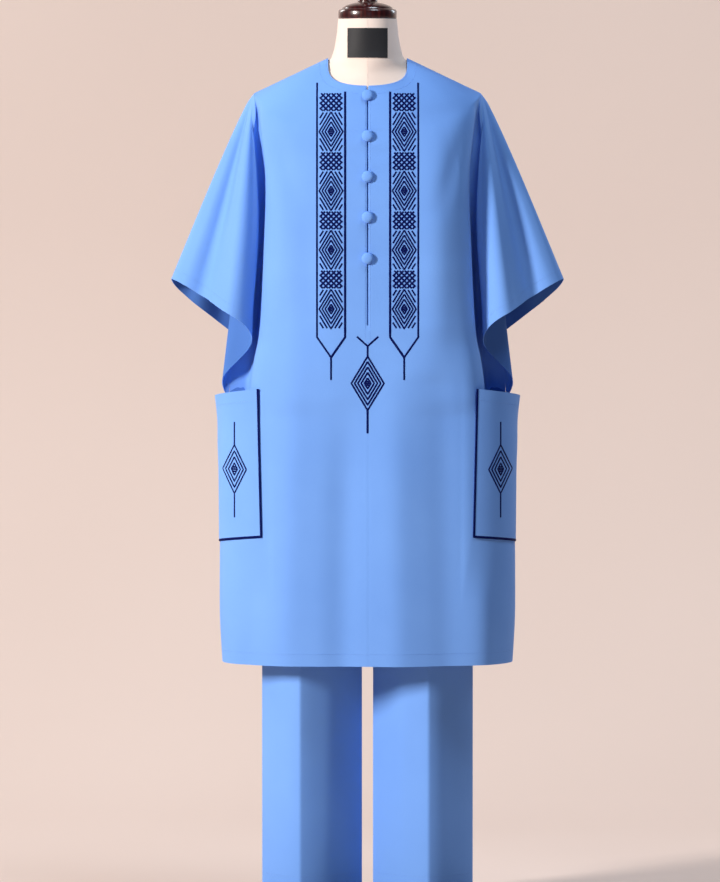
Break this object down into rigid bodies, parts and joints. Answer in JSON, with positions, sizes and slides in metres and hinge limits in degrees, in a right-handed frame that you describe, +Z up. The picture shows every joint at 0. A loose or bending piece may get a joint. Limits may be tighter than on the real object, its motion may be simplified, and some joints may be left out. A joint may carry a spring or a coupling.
{
  "type": "senator suit on a limbless dress form",
  "caption": "Men's long tunic with wide kaftan sleeves, chest slit, covered buttons and side pockets over straight trousers, worn by a limbless dress form on a plate stand.",
  "frame": {"origin": "middle of the base plate's underside, on the surface that the stand rests on", "axes": "+Z up along the form, -Y is the front of the suit, +X is the wearer's left"},
  "size_m": [0.7052, 0.34, 1.702],
  "materials": {
    "suit": "smooth matte suiting, soft sheen",
    "thread": "satin stitch embroidery thread",
    "form": "fine cream jersey cover",
    "label": "plain woven patch",
    "wood": "dark red-brown gloss lacquer",
    "steel": "satin tube",
    "plate": "fine textured black coat"
  },
  "bodies": {
    "root": {"tunic_front": "suit", "tunic_back": "suit", "sleeve_left": "suit", "sleeve_right": "suit", "pocket_left": "suit", "pocket_right": "suit", "placket_underlap": "suit", "button_1": "suit", "button_2": "suit", "button_3": "suit", "button_4": "suit", "button_5": "suit", "trouser_front_left": "suit", "trouser_front_right": "suit", "trouser_back_left": "suit", "trouser_back_right": "suit", "trouser_waistband": "suit", "form_torso": "form", "neck_patch": "label", "neck_cap": "wood", "neck_finial": "wood", "rod_left": "steel", "rod_right": "steel", "base_plate": "plate"}
  },
  "joints": []
}
